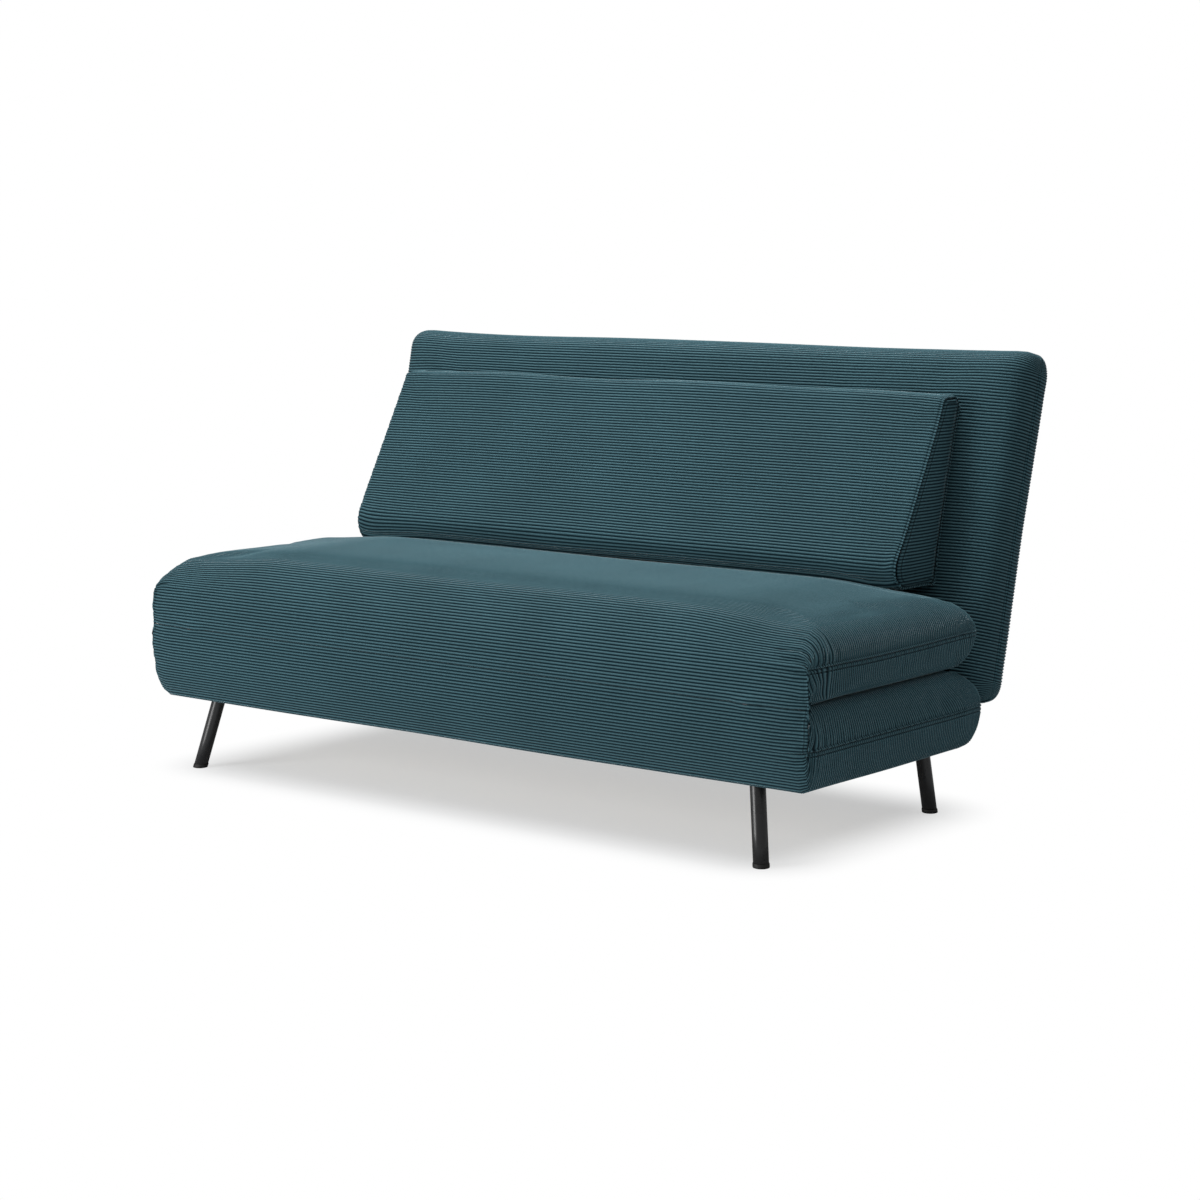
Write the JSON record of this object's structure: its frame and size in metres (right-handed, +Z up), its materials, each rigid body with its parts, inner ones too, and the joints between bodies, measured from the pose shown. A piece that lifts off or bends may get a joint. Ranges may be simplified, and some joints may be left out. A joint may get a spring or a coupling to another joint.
{
  "type": "click clack sofa bed",
  "caption": "Corduroy sofa bed: a stacked seat that folds open at the front, a reclining click clack backrest, a loose wedge cushion and splayed metal legs.",
  "frame": {"origin": "on the floor, under the middle of the whole part's bounding box in width and depth, with the seat folded and the backrest upright", "axes": "+X to the right seen from the front, along the width; +Y to the rear; +Z up"},
  "size_m": [1.6, 0.8738, 0.8571],
  "materials": {
    "corduroy": "matte wide rib corduroy, dark teal",
    "foam": "matte open cell foam",
    "frame_steel": "satin dark grey powder coat",
    "leg_steel": "satin black powder coat",
    "hinge_steel": "semi matte black, with worn edges",
    "slat_wood": "plain birch plywood",
    "glide_plastic": "matte black"
  },
  "bodies": {
    "base": {"lower_cover": "corduroy", "lower_frame_front_tube": "frame_steel", "lower_frame_rear_tube": "frame_steel", "lower_frame_left_tube": "frame_steel", "lower_frame_right_tube": "frame_steel", "lower_slat_1": "slat_wood", "lower_slat_2": "slat_wood", "lower_slat_3": "slat_wood", "lower_slat_4": "slat_wood", "lower_slat_5": "slat_wood", "lower_foam": "foam", "leg_front_left": "leg_steel", "glide_front_left": "glide_plastic", "leg_front_right": "leg_steel", "glide_front_right": "glide_plastic", "leg_rear_left": "leg_steel", "glide_rear_left": "glide_plastic", "leg_rear_right": "leg_steel", "glide_rear_right": "glide_plastic", "fold_arm_lower_left": "hinge_steel", "fold_arm_lower_right": "hinge_steel", "recline_plate_left": "hinge_steel", "recline_pawl_left": "frame_steel", "recline_plate_right": "hinge_steel", "recline_pawl_right": "frame_steel"},
    "upper_seat": {"upper_cover": "corduroy", "upper_frame_front_tube": "frame_steel", "upper_frame_rear_tube": "frame_steel", "upper_frame_left_tube": "frame_steel", "upper_frame_right_tube": "frame_steel", "upper_foam_inner": "foam", "upper_foam_outer": "foam", "fold_arm_upper_left": "hinge_steel", "fold_pin_left": "hinge_steel", "fold_arm_upper_right": "hinge_steel", "fold_pin_right": "hinge_steel", "support_bracket_left": "hinge_steel", "support_bracket_right": "hinge_steel"},
    "support_legs": {"support_axle": "leg_steel", "support_leg_left": "leg_steel", "support_glide_left": "glide_plastic", "support_leg_right": "leg_steel", "support_glide_right": "glide_plastic"},
    "backrest": {"backrest_cover": "corduroy", "backrest_frame_bottom_tube": "frame_steel", "backrest_frame_top_tube": "frame_steel", "backrest_frame_left_tube": "frame_steel", "backrest_frame_right_tube": "frame_steel", "backrest_foam_rear": "foam", "backrest_foam_front": "foam", "recline_arm_left": "hinge_steel", "recline_pin_left": "hinge_steel", "recline_arm_right": "hinge_steel", "recline_pin_right": "hinge_steel"},
    "wedge_cushion": {"wedge_cover": "corduroy", "wedge_foam": "foam"}
  },
  "joints": [
    {"name": "seat_flip", "type": "hinge", "parent": "base", "child": "upper_seat", "pos_m": [0, -0.43289, 0.2883], "axis": [1, 0, 0], "range_deg": [0, 180]},
    {"name": "support_swing", "type": "hinge", "parent": "upper_seat", "child": "support_legs", "pos_m": [0, 0.15561, 0.4236], "axis": [1, 0, 0], "range_deg": [0, 180]},
    {"name": "backrest_recline", "type": "hinge", "parent": "base", "child": "backrest", "pos_m": [0, 0.20761, 0.246], "axis": [-1, 0, 0], "range_deg": [0, 75.4]},
    {"name": "cushion_lift", "type": "slide", "parent": "base", "child": "wedge_cushion", "axis": [0, 0.2521, 0.9677], "range_m": [0, 2.05]}
  ],
  "couplings": [
    {"joint": "support_swing", "follows": "seat_flip", "ratio": 1},
    {"joint": "cushion_lift", "follows": "seat_flip", "m_per_rad": 0.65}
  ]
}
